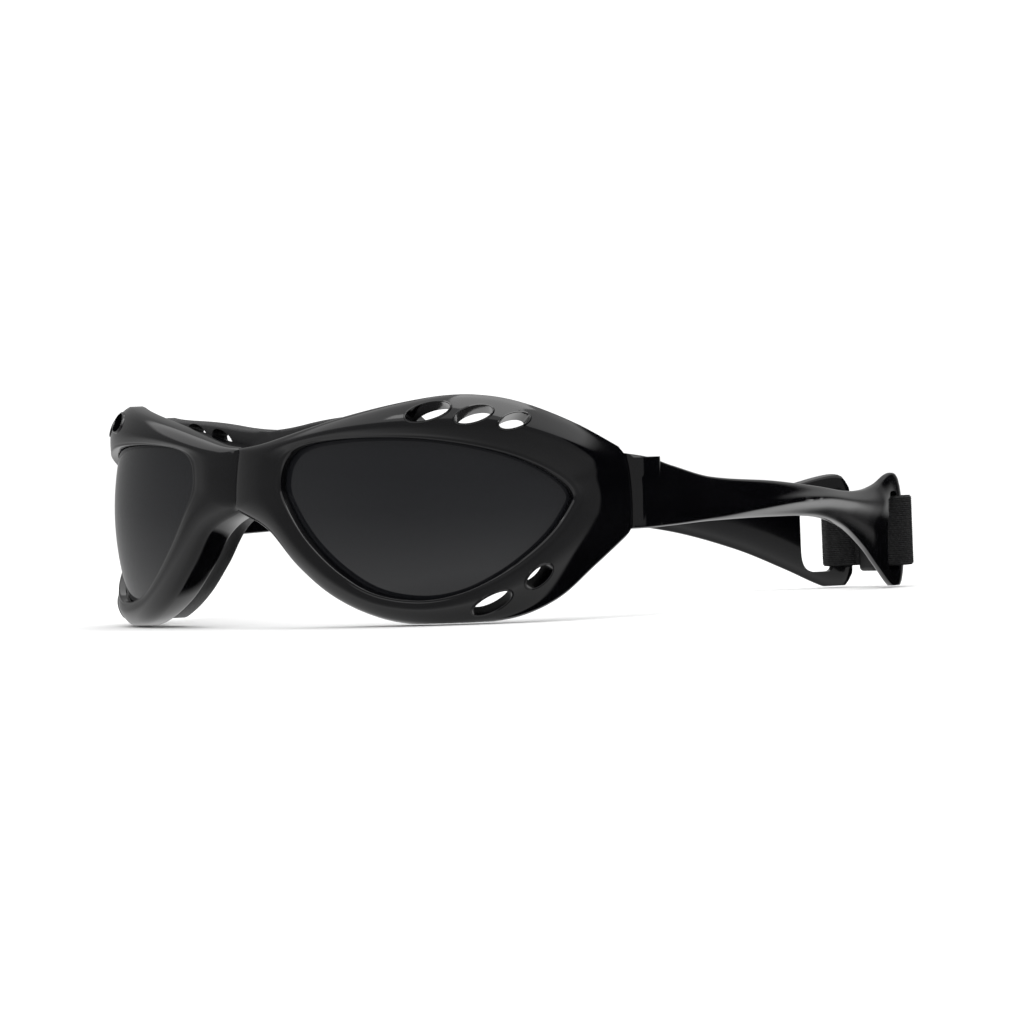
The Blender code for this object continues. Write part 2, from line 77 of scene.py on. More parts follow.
# Hinge
AXIS_X = 64.3
AXIS_Y = 50.8
BARREL = 5.1
SEAT_GAP = 0.35
KNUCKLE_RADIUS = 2.6
KNUCKLE_HEIGHT = 2.4
KNUCKLE_Z = (20.2, 28.8)
KNUCKLE_PLAY = 0.3
KNUCKLE_ARM_X = (AXIS_X - 2.4, AXIS_X - 0.3)
KNUCKLE_ARM_REACH = 6.6
KNUCKLE_CUT_X = (AXIS_X - 3.0, AXIS_X + 2.2)
KNUCKLE_CUT_Y = (AXIS_Y - 8.0, AXIS_Y + 0.31)
BARREL_Z = (17.6, 31.2)
BARREL_FLAT = 4.45
BARREL_CUT = 12.0
BARREL_CUT_BACK = 7.0
PIN_RADIUS = 0.8
HEAD_RADIUS = 1.5
PIN_BOTTOM = 17.9
PIN_TOP = 31.0
LUG_S = 97.5
PIN_PLAY = 0.3
THROUGH_Z = (10.0, 40.0)
TALL_Z = (0.0, 50.0)

# Temple and strap
TEMPLE_START = (65.8, 46.0)
TEMPLE_TIP = (7.4, 180.5)
TEMPLE_BOW = ((66.5, 88.0), (24.0, 146.3))
TEMPLE_STEPS = 150
SLOT_SPAN = (0.905, 0.965)
SLOT_Z = (3.2, 20.4)
SLOT_CUT_DEPTHS = (-8.0, -1.2, 1.2, 8.0)
WEB_WIDTH = 15.0
WEB_THICK = 1.2
WEB_ROUNDS = 120
WEB_LEVELS = 145
RIB_COUNT = 36
RIB_HEIGHT = 0.07
EDGE_ROUND = 0.3
SLIDER = (5.0, 4.6, 17.5)
TAIL_X = 5.9
TAIL_Y = 180.1

# Each row: lens edge (s, z), outer edge (s, z), front-to-back depth, sharp corner in the outer edge
RIM = [
    ((15.0, 33.4), (CENTRE_OVERLAP, 36.0), 7.5, True),
    ((19.8, 36.1), (8.0, 37.2), 6.5, False),
    ((31.1, 37.2), (27.0, 41.3), 5.4, False),
    ((45.3, 37.0), (44.5, 44.2), 5.2, False),
    ((56.4, 35.7), (57.5, 45.2), 5.2, False),
    ((66.7, 33.3), (70.0, 43.8), 5.2, False),
    ((74.0, 30.4), (83.5, 39.2), 5.4, False),
    ((79.2, 27.2), (LUG_S, 32.3), 6.0, True),
    ((81.4, 24.4), (LUG_S, 24.6), 6.0, False),
    ((80.3, 22.0), (LUG_S, 17.0), 6.0, True),
    ((76.5, 17.4), (87.5, 10.0), 5.4, False),
    ((71.0, 12.9), (79.5, 4.2), 5.2, False),
    ((64.5, 9.0), (70.0, 0.8), 5.2, False),
    ((56.4, 5.9), (58.0, -0.3), 5.2, False),
    ((47.2, 4.8), (47.0, -0.3), 5.2, False),
    ((37.0, 6.4), (36.0, 1.4), 5.6, False),
    ((29.0, 10.6), (25.5, 5.6), 6.6, False),
    ((21.7, 16.7), (17.0, 11.8), 7.5, False),
    ((16.3, 23.4), (9.0, 19.4), 8.0, False),
    ((13.8, 28.4), (CENTRE_OVERLAP, 23.6), 8.0, True),
]

# Each vent: s, z, half length, half height, slant in degrees
VENTS = [
    (50.9, 41.0, 4.7, 1.9, 12.0),
    (61.0, 40.1, 3.9, 1.7, 14.0),
    (69.6, 38.6, 3.4, 1.5, 16.0),
    (63.3, 4.7, 4.4, 1.6, 27.0),
    (73.2, 9.4, 3.2, 1.6, 38.0),
]
GASKET_VENTS = [(22.5, 38.6, 3.6, 1.5, 24.0), (14.2, 37.6, 3.4, 1.4, 24.0)]

# Temple: share of length, bottom, top and thickness
TEMPLE_SHAPE = [
    (0.0, 17.0, 32.2, 6.0),
    (0.05, 17.0, 31.2, 6.0),
    (0.10, 17.2, 29.4, 5.4),
    (0.20, 17.6, 26.6, 4.6),
    (0.40, 17.4, 24.8, 4.0),
    (0.58, 16.4, 22.8, 3.8),
    (0.70, 13.6, 21.4, 3.6),
    (0.80, 9.0, 21.2, 3.5),
    (0.88, 4.0, 22.2, 3.4),
    (0.94, 0.2, 23.9, 3.4),
    (0.97, -0.6, 24.3, 3.4),
    (0.988, 0.2, 23.6, 3.2),
    (1.0, 2.4, 21.4, 2.6),
]

# Studio, in metres and degrees
CAMERA_TURN = 48.0
CAMERA_RISE = 1.0
CAMERA_ROLL = -2.3
CAMERA_REACH = 1.6
CAMERA_LENS = 273.0
CAMERA_AIM = Vector((0.0109, -0.0257, 0.0204))
ROOM_WHITE = 1.2
FLOOR_RADIUS = 6.0
FLOOR_DROP = 0.0004
OVERHEAD = (0.1, 0.05, 0.9)
# Level of the studio in reflections, by height of direction: -1 is straight down, 1 straight up
WORLD_STEPS = ((-1.0, 0.5), (-0.4, 0.9), (-0.16, 0.55), (0.0, 0.38), (0.2, 0.3), (0.5, 0.3),
               (1.0, 0.45))
BACK_EDGE = (0.36, 0.42)
FAR_EDGE = (-0.35, -0.2)
TOP_EDGE = (0.55, 0.61)
TOP_LEVEL = 1.15

FRONT = "front"
ARMS = {"left": "temple_left_arm", "right": "temple_right_arm"}
SIDES = (("left", 1), ("right", -1))


# ---------------------------------------------------------------- curves and surfaces

def place(x, y, z):
    """A point of the design, in millimetres, as metres in the frame."""
    return Vector((x, y - FRONT_REACH, z)) * MM


def wrap_table(steps=1500):
    """Points along the plan curve, a quarter of a superellipse, with their arc lengths."""
    rows = [(0.0, 0.0, 0.0)]
    for i in range(1, steps + 1):
        angle = 0.5 * math.pi * i / steps
        x = HALF_WIDTH * math.sin(angle) ** (2.0 / WRAP_POWER)
        y = WRAP_DEPTH * (1.0 - max(math.cos(angle), 0.0) ** (2.0 / WRAP_POWER))
        length, last_x, last_y = rows[-1]
        rows.append((length + math.hypot(x - last_x, y - last_y), x, y))
    return rows


WRAP = wrap_table()


def wrap_point(s):
    """X and Y at arc length s; the curve carries on straight past either end."""
    if s <= 0.0:
        return s, 0.0
    low, high = 0, len(WRAP) - 1
    while high - low > 1:
        middle = (low + high) // 2
        if WRAP[middle][0] > s:
            high = middle
        else:
            low = middle
    (s0, x0, y0), (s1, x1, y1) = WRAP[low], WRAP[high]
    share = (s - s0) / (s1 - s0)
    return x0 + (x1 - x0) * share, y0 + (y1 - y0) * share


def front_point(s, z, d):
    """A point d outside the wrapped, barrelled front surface."""
    x0, y0 = wrap_point(s - 0.5)
    x1, y1 = wrap_point(s + 0.5)
    x, y = wrap_point(s)
    tangent = Vector((x1 - x0, y1 - y0, 0.0)).normalized()
    normal = Vector((tangent.y, -tangent.x, 0.0))
    offset = d - (z - MID_HEIGHT) ** 2 / (2.0 * BARREL_RADIUS)
    point = Vector((x, y, z)) + normal * offset
    return place(*point)


def front_axes(s, z, slant):
    """The surface's normal at (s, z), with a long and a short axis turned by slant degrees."""
    here = front_point(s, z, 0.0)
    normal = (front_point(s + 0.5, z, 0.0) - here).cross(front_point(s, z + 0.5, 0.0) - here)
    normal.normalize()
    along = (front_point(s + 0.5, z, 0.0) - front_point(s - 0.5, z, 0.0)).normalized()
    up = normal.cross(along)
    turn = math.radians(slant)
    return (normal, along * math.cos(turn) + up * math.sin(turn),
            up * math.cos(turn) - along * math.sin(turn))


def spline(p0, p1, p2, p3, t):
    """Catmull-Rom point between p1 and p2."""
    return [0.5 * (2 * b + (c - a) * t + (2 * a - 5 * b + 4 * c - d) * t * t
                   + (3 * b - a - 3 * c + d) * t ** 3) for a, b, c, d in zip(p0, p1, p2, p3)]


def open_spline(points, steps):
    """A smooth line through all of the points."""
    ends = [[2 * a - b for a, b in zip(points[0], points[1])], *points,
            [2 * a - b for a, b in zip(points[-1], points[-2])]]
    line = []
    for rows in zip(ends, ends[1:], ends[2:], ends[3:]):
        line += [spline(*rows, k / steps) for k in range(steps)]
    return line + [list(points[-1])]


def rim_spokes(steps):
    """Spokes from the lens edge to the outer edge, all the way round one eye."""
    count = len(RIM)
    spokes = []
    for i in range(count):
        rows = [RIM[(i + k) % count] for k in (-1, 0, 1, 2)]
        inner = [row[0] for row in rows]
        outer = [row[1] for row in rows]
        if rows[1][3]:
            outer[0] = [2 * b - c for b, c in zip(outer[1], outer[2])]
        if rows[2][3]:
            outer[3] = [2 * b - a for a, b in zip(outer[1], outer[2])]
        for k in range(steps):
            t = k / steps
            depth = rows[1][2] * (1 - t) + rows[2][2] * t
            spokes.append((spline(*inner, t), spline(*outer, t), depth))
    return spokes


def along_spoke(spoke, share, extra=0.0):
    """(s, z) a share of the way along a spoke, plus some millimetres further out."""
    (s0, z0), (s1, z1), _ = spoke
    share += extra / math.hypot(s1 - s0, z1 - z0)
    return s0 + (s1 - s0) * share, z0 + (z1 - z0) * share


def smooth_step(low, high, value):
    t = min(max((value - low) / (high - low), 0.0), 1.0)
    return t * t * (3.0 - 2.0 * t)


def bezier(p0, p1, p2, p3, t):
    """Point and unit tangent of a cubic curve in plan."""
    u = 1.0 - t
    point = [u ** 3 * a + 3 * u * u * t * b + 3 * u * t * t * c + t ** 3 * d
             for a, b, c, d in zip(p0, p1, p2, p3)]
    tangent = Vector([3 * u * u * (b - a) + 6 * u * t * (c - b) + 3 * t * t * (d - c)
                      for a, b, c, d in zip(p0, p1, p2, p3)])
    return point, tangent.normalized()


# ---------------------------------------------------------------- mesh tools

def mesh_object(name, verts, faces):
    """An object from points and faces, with its faces turned outward."""
    mesh = bpy.data.meshes.new(name)
    mesh.from_pydata([tuple(v) for v in verts], [], faces)
    bm = bmesh.new()
    bm.from_mesh(mesh)
    bmesh.ops.recalc_face_normals(bm, faces=bm.faces)
    bm.to_mesh(mesh)
    bm.free()
    return link(name, mesh)


def bmesh_object(name, bm):
    mesh = bpy.data.meshes.new(name)
    bm.to_mesh(mesh)
    bm.free()
    return link(name, mesh)


def link(name, mesh):
    obj = bpy.data.objects.new(name, mesh)
    bpy.context.scene.collection.objects.link(obj)
    return obj


def loft(name, sections, ring):
    """A skin through closed sections: joined end to end as a ring, or capped as a bar."""
    size = len(sections[0])
    count = len(sections)
    verts = [point for section in sections for point in section]
    faces = []
    for i in range(count if ring else count - 1):
        j = (i + 1) % count
        for k in range(size):
            m = (k + 1) % size
            faces.append((i * size + k, j * size + k, j * size + m, i * size + m))
    if not ring:
        faces.append(tuple(range(size)))
        faces.append(tuple((count - 1) * size + k for k in reversed(range(size))))
    return mesh_object(name, verts, faces)


def bake(obj):
    """Put the modifiers' result into the mesh."""
    depsgraph = bpy.context.evaluated_depsgraph_get()
    mesh = bpy.data.meshes.new_from_object(obj.evaluated_get(depsgraph))
    obj.modifiers.clear()
    obj.data = mesh


def mirror_half(obj):
    """Cut at the centre plane and join the +X half to its mirror image, edge to edge."""
    bm = bmesh.new()
    bm.from_mesh(obj.data)
    bmesh.ops.bisect_plane(bm, geom=bm.verts[:] + bm.edges[:] + bm.faces[:], dist=0.0,
                           plane_co=(0, 0, 0), plane_no=(1, 0, 0), clear_inner=True)
    for edge in bm.edges:
        if edge.is_boundary:
            for vert in edge.verts:
                vert.co.x = 0.0
    copy = bmesh.ops.duplicate(bm, geom=bm.verts[:] + bm.edges[:] + bm.faces[:])["geom"]
    for item in copy:
        if isinstance(item, bmesh.types.BMVert):
            item.co.x = -item.co.x
    flipped = [item for item in copy if isinstance(item, bmesh.types.BMFace)]
    bmesh.ops.reverse_faces(bm, faces=flipped)
    seam = [vert for vert in bm.verts if vert.is_boundary]
    bmesh.ops.remove_doubles(bm, verts=seam, dist=1e-7)
    bm.to_mesh(obj.data)
    bm.free()


def combine(obj, tool, operation):
    """Cut or join a tool, then remove it."""
    modifier = obj.modifiers.new(tool.name, "BOOLEAN")
    modifier.operation = operation
    modifier.object = tool
    modifier.solver = "MANIFOLD"
    bake(obj)
    bpy.data.objects.remove(tool)


def side_span(side, low, high):
    """The two ends of an X range on the +X or the -X side, lower one first."""
    return sorted((side * low, side * high))


def box_tool(low, high):
    bm = bmesh.new()
    bmesh.ops.create_cube(bm, size=1.0)
    size = Vector(high) - Vector(low)
    middle = (Vector(high) + Vector(low)) * 0.5
    for vert in bm.verts:
        vert.co = place(*(Vector(c * e for c, e in zip(vert.co, size)) + middle))
    return bmesh_object("box_tool", bm)


def cylinder_tool(x, y, z0, z1, radius, segments=64):
    bm = bmesh.new()
    bmesh.ops.create_cone(bm, cap_ends=True, segments=segments, radius1=radius,
                          radius2=radius, depth=z1 - z0)
    for vert in bm.verts:
        vert.co = place(*(vert.co + Vector((x, y, (z0 + z1) / 2))))
    return bmesh_object("cylinder_tool", bm)


def oval_tool(vent, side, depth, segments=48, length=16.0):
    """An oval cutter along the local normal of the front surface."""
    s, z, half_long, half_high, slant = vent
    centre = front_point(s, z, depth)
    normal, long_axis, short_axis = front_axes(s, z, slant)
    bm = bmesh.new()
    bmesh.ops.create_cone(bm, cap_ends=True, segments=segments, radius1=1.0, radius2=1.0, depth=1.0)
    for vert in bm.verts:
        x, y, h = vert.co
        vert.co = centre + (long_axis * (x * half_long) + short_axis * (y * half_high)
                            + normal * (h * length)) * MM
        vert.co.x *= side
    if side < 0:
        bmesh.ops.reverse_faces(bm, faces=bm.faces)
    return bmesh_object("oval_tool", bm)


def tube_ring(name, points, normals, radius, sides=10):
    """A closed tube through a loop of points; each section holds its local normal."""
    count = len(points)
    sections = []
    for i, (point, normal) in enumerate(zip(points, normals)):
        tangent = (points[(i + 1) % count] - points[i - 1]).normalized()
        across = tangent.cross(normal).normalized()
        out = across.cross(tangent)
        sections.append([point + (across * math.cos(2 * math.pi * k / sides)
                                  + out * math.sin(2 * math.pi * k / sides)) * radius * MM
                         for k in range(sides)])
    return loft(name, sections, True)


def vent_lip(vent, side, surface, height=12.0, radius=0.42, sink=0.12, count=56):
    """A raised lip along a vent's edge, laid on the surface it is cut through."""
    s, z, half_long, half_high, slant = vent
    normal, long_axis, short_axis = front_axes(s, z, slant)
    points, normals = [], []
    for k in range(count):
        angle = 2 * math.pi * k / count
        edge = long_axis * (math.cos(angle) * half_long) + short_axis * (math.sin(angle) * half_high)
        start = front_point(s, z, -3.0) + (normal * height + edge) * MM
        hit = surface.ray_cast(start, -normal)[0]
        if hit is None:
            hit = front_point(s, z, 0.0) + edge * MM
        points.append(hit - normal * sink * MM)
        normals.append(normal)
    if side < 0:
        points = [Vector((-p.x, p.y, p.z)) for p in reversed(points)]
        normals = [Vector((-n.x, n.y, n.z)) for n in reversed(normals)]
    return tube_ring("vent_lip", points, normals, radius)


def finish_piece(obj, material, body, nodes, angle=32.0):
    """Shade and colour a finished piece, hang it under its body and hide the CAD parts it stands in
    for.
    """
    obj.data.materials.clear()
    obj.data.materials.append(material)
    obj.data.shade_smooth()
    obj.data.set_sharp_from_angle(angle=math.radians(angle))
    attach(obj, body)
    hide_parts(*nodes)


# ---------------------------------------------------------------- materials

def new_material(name, colour, roughness, metallic=0.0, coat=0.0):
    material = bpy.data.materials.new(name)
    material.use_nodes = True
    shader = material.node_tree.nodes["Principled BSDF"]
    shader.inputs["Base Color"].default_value = (*colour, 1.0)
    shader.inputs["Roughness"].default_value = roughness
    shader.inputs["Metallic"].default_value = metallic
    shader.inputs["Coat Weight"].default_value = coat
    shader.inputs["Coat Roughness"].default_value = 0.03
    return material, material.node_tree, shader


def noise(tree, scale, detail, stretch=(1.0, 1.0, 1.0)):
    """Object-space noise, in cells per metre."""
    where = tree.nodes.new("ShaderNodeTexCoord")
    mapping = tree.nodes.new("ShaderNodeMapping")
    mapping.inputs["Scale"].default_value = stretch
    texture = tree.nodes.new("ShaderNodeTexNoise")
    texture.inputs["Scale"].default_value = scale
    texture.inputs["Detail"].default_value = detail
    tree.links.new(where.outputs["Object"], mapping.inputs["Vector"])
    tree.links.new(mapping.outputs["Vector"], texture.inputs["Vector"])
    return texture


def drive_range(tree, source, target, low, high, start=0.3, end=0.7):
    ramp = tree.nodes.new("ShaderNodeMapRange")
    ramp.inputs["From Min"].default_value = start
    ramp.inputs["From Max"].default_value = end
    ramp.inputs["To Min"].default_value = low
    ramp.inputs["To Max"].default_value = high
    tree.links.new(source, ramp.inputs["Value"])
    tree.links.new(ramp.outputs["Result"], target)


def drive_colour(tree, source, shader, dark, light):
    ramp = tree.nodes.new("ShaderNodeValToRGB")
    ramp.color_ramp.elements[0].position = 0.35
    ramp.color_ramp.elements[0].color = (*dark, 1.0)
    ramp.color_ramp.elements[1].position = 0.7
    ramp.color_ramp.elements[1].color = (*light, 1.0)
    tree.links.new(source, ramp.inputs["Fac"])
    tree.links.new(ramp.outputs["Color"], shader.inputs["Base Color"])


def add_bump(tree, source, shader, strength, distance):
    bump = tree.nodes.new("ShaderNodeBump")
    bump.inputs["Strength"].default_value = strength
    bump.inputs["Distance"].default_value = distance
    tree.links.new(source, bump.inputs["Height"])
    tree.links.new(bump.outputs["Normal"], shader.inputs["Normal"])


def gloss_material():
    """Injection-moulded black: a faint flow ripple, fine haze and handling smears."""
    material, tree, shader = new_material("gloss_black", (0.0011, 0.0011, 0.0015), 0.1)
    smear = noise(tree, 55.0, 5.0, (1.0, 1.0, 2.6))
    drive_range(tree, smear.outputs["Fac"], shader.inputs["Roughness"], 0.05, 0.12)
    drive_colour(tree, smear.outputs["Fac"], shader, (0.0008, 0.0008, 0.0012), (0.0016, 0.0016, 0.0021))
    flow = noise(tree, 90.0, 1.5)
    add_bump(tree, flow.outputs["Fac"], shader, 0.12, 0.0002)
    return material


def lens_material():
    """Smoke polycarbonate, polished, with a slight tint shift across it."""
    material, tree, shader = new_material("smoke_lens", (0.006, 0.0063, 0.0075), 0.04)
    tint = noise(tree, 18.0, 2.0)
    drive_colour(tree, tint.outputs["Fac"], shader, (0.0055, 0.0058, 0.007), (0.0066, 0.0069, 0.0082))
    film = noise(tree, 320.0, 6.0)
    drive_range(tree, film.outputs["Fac"], shader.inputs["Roughness"], 0.03, 0.07)
    return material


def rubber_material():
    material, tree, shader = new_material("gasket_rubber", (0.006, 0.006, 0.007), 0.42)
    grain = noise(tree, 2600.0, 4.0)
    drive_range(tree, grain.outputs["Fac"], shader.inputs["Roughness"], 0.34, 0.52)
    patch = noise(tree, 70.0, 3.0)
    drive_colour(tree, patch.outputs["Fac"], shader, (0.005, 0.005, 0.006), (0.008, 0.008, 0.009))
    add_bump(tree, grain.outputs["Fac"], shader, 0.25, 0.00006)
    return material


def webbing_material():
    """Woven nylon: crossing yarns with fuzz on top of the modelled ribs."""
    material, tree, shader = new_material("black_webbing", (0.004, 0.004, 0.0045), 0.8)
    shader.inputs["Sheen Weight"].default_value = 0.015
    shader.inputs["Sheen Roughness"].default_value = 0.4
    where = tree.nodes.new("ShaderNodeTexCoord")
    waves = []
    for direction in ("Z", "DIAGONAL"):
        wave = tree.nodes.new("ShaderNodeTexWave")
        wave.bands_direction = direction
        wave.inputs["Scale"].default_value = 420.0
        wave.inputs["Distortion"].default_value = 1.2
        wave.inputs["Detail"].default_value = 2.0
        tree.links.new(where.outputs["Object"], wave.inputs["Vector"])
        waves.append(wave)
    weave = tree.nodes.new("ShaderNodeMath")
    weave.operation = "MULTIPLY"
    tree.links.new(waves[0].outputs["Fac"], weave.inputs[0])
    tree.links.new(waves[1].outputs["Fac"], weave.inputs[1])
    drive_colour(tree, weave.outputs["Value"], shader, (0.0018, 0.0018, 0.0022), (0.006, 0.0063, 0.007))
    add_bump(tree, weave.outputs["Value"], shader, 0.5, 0.00012)
    fuzz = noise(tree, 900.0, 5.0)
    drive_range(tree, fuzz.outputs["Fac"], shader.inputs["Roughness"], 0.7, 0.92)
    return material


def slider_material():
    material, tree, shader = new_material("slider_plastic", (0.003, 0.003, 0.0035), 0.36)
    spark = noise(tree, 1700.0, 3.0)
    drive_range(tree, spark.outputs["Fac"], shader.inputs["Roughness"], 0.28, 0.45)
    add_bump(tree, spark.outputs["Fac"], shader, 0.3, 0.00005)
    return material


def steel_material():
    material, tree, shader = new_material("screw_steel", (0.45, 0.45, 0.46), 0.28, 1.0)
    turning = noise(tree, 1500.0, 3.0, (1.0, 1.0, 6.0))
    drive_range(tree, turning.outputs["Fac"], shader.inputs["Roughness"], 0.2, 0.4)
    add_bump(tree, turning.outputs["Fac"], shader, 0.15, 0.00003)
    return material


# ---------------------------------------------------------------- front

def frame_profile(spoke):
    """Section from the front lip over the crown to the back, with the lens groove."""
    _, (s1, z1), depth = spoke
    crease = smooth_step(46.0, 76.0, s1) * smooth_step(29.0, 35.0, z1)
    round_top = [(0.0, -0.35), (0.025, 0.0), (0.08, 0.14), (0.16, 0.42), (0.38, CROWN),
                 (0.62, CROWN * 0.8), (0.84, 0.12), (0.95, -0.62), (1.0, -1.4)]
    creased = [(0.0, -0.35), (0.025, 0.0), (0.08, 0.1), (0.16, 0.3), (0.42, 0.95),
               (0.56, 1.25), (0.66, 0.95), (0.88, -0.35), (1.0, -1.4)]
    front = [(a[0] + (b[0] - a[0]) * crease, a[1] + (b[1] - a[1]) * crease)
             for a, b in zip(round_top, creased)]
    back = [(1.0, -depth + 1.2), (0.97, -depth + 0.5), (0.9, -depth + 0.1), (0.5, -depth),
            (0.05, -depth + 0.02), (0.0, -depth + 0.3)]
    profile = [(share, 0.0, d) for share, d in open_spline(front, 4)]
    profile += [(share, 0.0, d) for share, d in back]
    profile += [(0.0, 0.0, LENS_BACK - 0.35), (0.0, GROOVE, LENS_BACK - 0.35),
                (0.0, GROOVE, -LIP), (0.0, 0.0, -LIP)]
    return [front_point(*along_spoke(spoke, share, extra), d) for share, extra, d in profile]


def make_frame(material):
    body = loft("frame_shell", [frame_profile(spoke) for spoke in rim_spokes(FINE_STEPS)], True)
    mirror_half(body)
    bm = bmesh.new()
    bm.from_mesh(body.data)
    surface = BVHTree.FromBMesh(bm)
    bm.free()
    for _, side in SIDES:
        for vent in VENTS:
            combine(body, vent_lip(vent, side, surface), "UNION")
            combine(body, oval_tool(vent, side, -3.0), "DIFFERENCE")
        x = side * AXIS_X
        combine(body, cylinder_tool(x, AXIS_Y, *THROUGH_Z, BARREL + SEAT_GAP, 96), "DIFFERENCE")
        for z in KNUCKLE_Z:
            low, high = z - KNUCKLE_HEIGHT / 2, z + KNUCKLE_HEIGHT / 2
            x_low, x_high = side_span(side, *KNUCKLE_ARM_X)
            combine(body, box_tool((x_low, AXIS_Y - KNUCKLE_ARM_REACH, low + 0.01),
                                   (x_high, AXIS_Y, high - 0.01)), "UNION")
            combine(body, cylinder_tool(x, AXIS_Y, low, high, KNUCKLE_RADIUS), "UNION")
        combine(body, cylinder_tool(x, AXIS_Y, *THROUGH_Z, PIN_RADIUS + PIN_PLAY, 32), "DIFFERENCE")
    combine(body, box_tool(*FRONT_FLOOR_CUT), "DIFFERENCE")
    finish_piece(body, material, FRONT, ["front_frame"])


def make_lens(word, side, material):
    """A curved lens held in the groove round the opening, with a small edge bevel."""
    edge = [along_spoke(spoke, 0.0, LENS_REACH) for spoke in rim_spokes(FINE_STEPS)]
    centre, rings = LENS_CENTRE, LENS_RINGS
    levels = [(k / rings, LENS_FRONT) for k in range(1, rings)]
    levels += [(0.996, LENS_FRONT), (1.0, LENS_FRONT - LENS_BEVEL),
               (1.0, LENS_BACK + LENS_BEVEL), (0.996, LENS_BACK)]
    levels += [(k / rings, LENS_BACK) for k in range(rings - 1, 0, -1)]
    verts = [front_point(*centre, LENS_FRONT)]
    for share, d in levels:
        for s, z in edge:
            verts.append(front_point(centre[0] + (s - centre[0]) * share,
                                     centre[1] + (z - centre[1]) * share, d))
    verts.append(front_point(*centre, LENS_BACK))
    count = len(edge)
    last = len(verts) - 1
    faces = []
    for k in range(count):
        m = (k + 1) % count
        faces.append((0, 1 + k, 1 + m))
        faces.append((last, last - count + m, last - count + k))
        for ring in range(len(levels) - 1):
            a, b = 1 + ring * count, 1 + (ring + 1) * count
            faces.append((a + k, b + k, b + m, a + m))
    verts = [Vector((side * v.x, v.y, v.z)) for v in verts]
    lens = mesh_object(f"lens_{word}_fine", verts, faces)
    finish_piece(lens, material, FRONT, [f"lens_{word}"])


def gasket_section(spoke):
    """Soft seal behind the rim; it stands up above the frame over the brow."""
    (s0, z0), (s1, z1), depth = spoke
    s1 = min(s1, GASKET_END_S)
    spoke = ((s0, z0), (s1, z1), depth)
    front = -depth - GASKET_GAP
    back = front - GASKET_THICK
    crest = 0.0
    if z1 > 33.0:
        crest = GASKET_CREST * (1.0 - smooth_step(5.0, 42.0, s1))
    inner = along_spoke(spoke, 0.12, 0.6)
    reach = 1.0 - 0.16 * smooth_step(CENTRE_OVERLAP, 9.0, s1)
    reach *= 1.0 - 0.62 * smooth_step(40.0, 48.0, s1)
    outer = along_spoke(spoke, reach)
    s2, z2 = outer[0], outer[1] + crest
    rows = [(0.0, front - 0.5), (0.06, front - 0.12), (0.18, front), (0.85, front),
            (0.95, front - 0.25), (1.0, front - 0.9), (1.0, back + 0.9), (0.95, back + 0.25),
            (0.85, back), (0.6, back + 0.16), (0.4, back + 0.16), (0.18, back),
            (0.06, back + 0.12), (0.0, back + 0.5)]
    return [front_point(inner[0] + (s2 - inner[0]) * w, inner[1] + (z2 - inner[1]) * w, d)
            for w, d in rows]


def make_gasket(material):
    gasket = loft("face_seal", [gasket_section(spoke) for spoke in rim_spokes(FINE_STEPS)], True)
    mirror_half(gasket)
    for _, side in SIDES:
        for vent in GASKET_VENTS:
            combine(gasket, oval_tool(vent, side, -9.0), "DIFFERENCE")
    finish_piece(gasket, material, FRONT, ["face_gasket"], 40.0)


# ---------------------------------------------------------------- temples

def temple_path(t):
    return bezier(TEMPLE_START, *TEMPLE_BOW, TEMPLE_TIP, t)


def temple_size(t):
    """Bottom, top and thickness, smoothly through the rows of TEMPLE_SHAPE."""
    rows = TEMPLE_SHAPE
    i = 0
    while i < len(rows) - 2 and t > rows[i + 1][0]:
        i += 1
    share = (t - rows[i][0]) / (rows[i + 1][0] - rows[i][0])
    near = [rows[max(i - 1, 0)], rows[i], rows[i + 1], rows[min(i + 2, len(rows) - 1)]]
    span = near[2][0] - near[1][0]
    sizes = []
    for c in (1, 2, 3):
        before = (near[2][c] - near[0][c]) / (near[2][0] - near[0][0]) * span
        after = (near[3][c] - near[1][c]) / (near[3][0] - near[1][0]) * span
        a, b = near[1][c], near[2][c]
        sizes.append((2 * share ** 3 - 3 * share ** 2 + 1) * a + (share ** 3 - 2 * share ** 2
                     + share) * before + (3 * share ** 2 - 2 * share ** 3) * b
                     + (share ** 3 - share ** 2) * after)
    return sizes


def temple_section(t, side, sides=80):
    """Rounded tall section, with a ridge that climbs the outer face towards the tip."""
    (x, y), tangent = temple_path(t)
    bottom, top, thick = temple_size(t)
    middle, half = (bottom + top) / 2, (top - bottom) / 2
    ridge_at = -0.75 + 1.35 * smooth_step(0.1, 0.82, t)
    ridge_high = 1.1 * smooth_step(0.08, 0.3, t) * (1.0 - smooth_step(0.86, 0.97, t))
    hollow = 0.7 * smooth_step(0.3, 0.6, t) * (1.0 - smooth_step(0.84, 0.95, t))
    points = []
    for k in range(sides):
        angle = 2 * math.pi * k / sides
        across, up = math.cos(angle), math.sin(angle)
        wide = math.copysign(abs(across) ** 0.55, across)
        tall = math.copysign(abs(up) ** 0.75, up)
        offset = wide * thick / 2
        if wide > 0.0:
            gap = tall - ridge_at
            offset += wide * ridge_high * math.exp(-(gap * 2.8) ** 2)
            offset -= wide * hollow * smooth_step(0.05, 0.9, -gap)
        points.append(place(side * (x + tangent.y * offset), y - tangent.x * offset,
                            middle + tall * half))
    return points


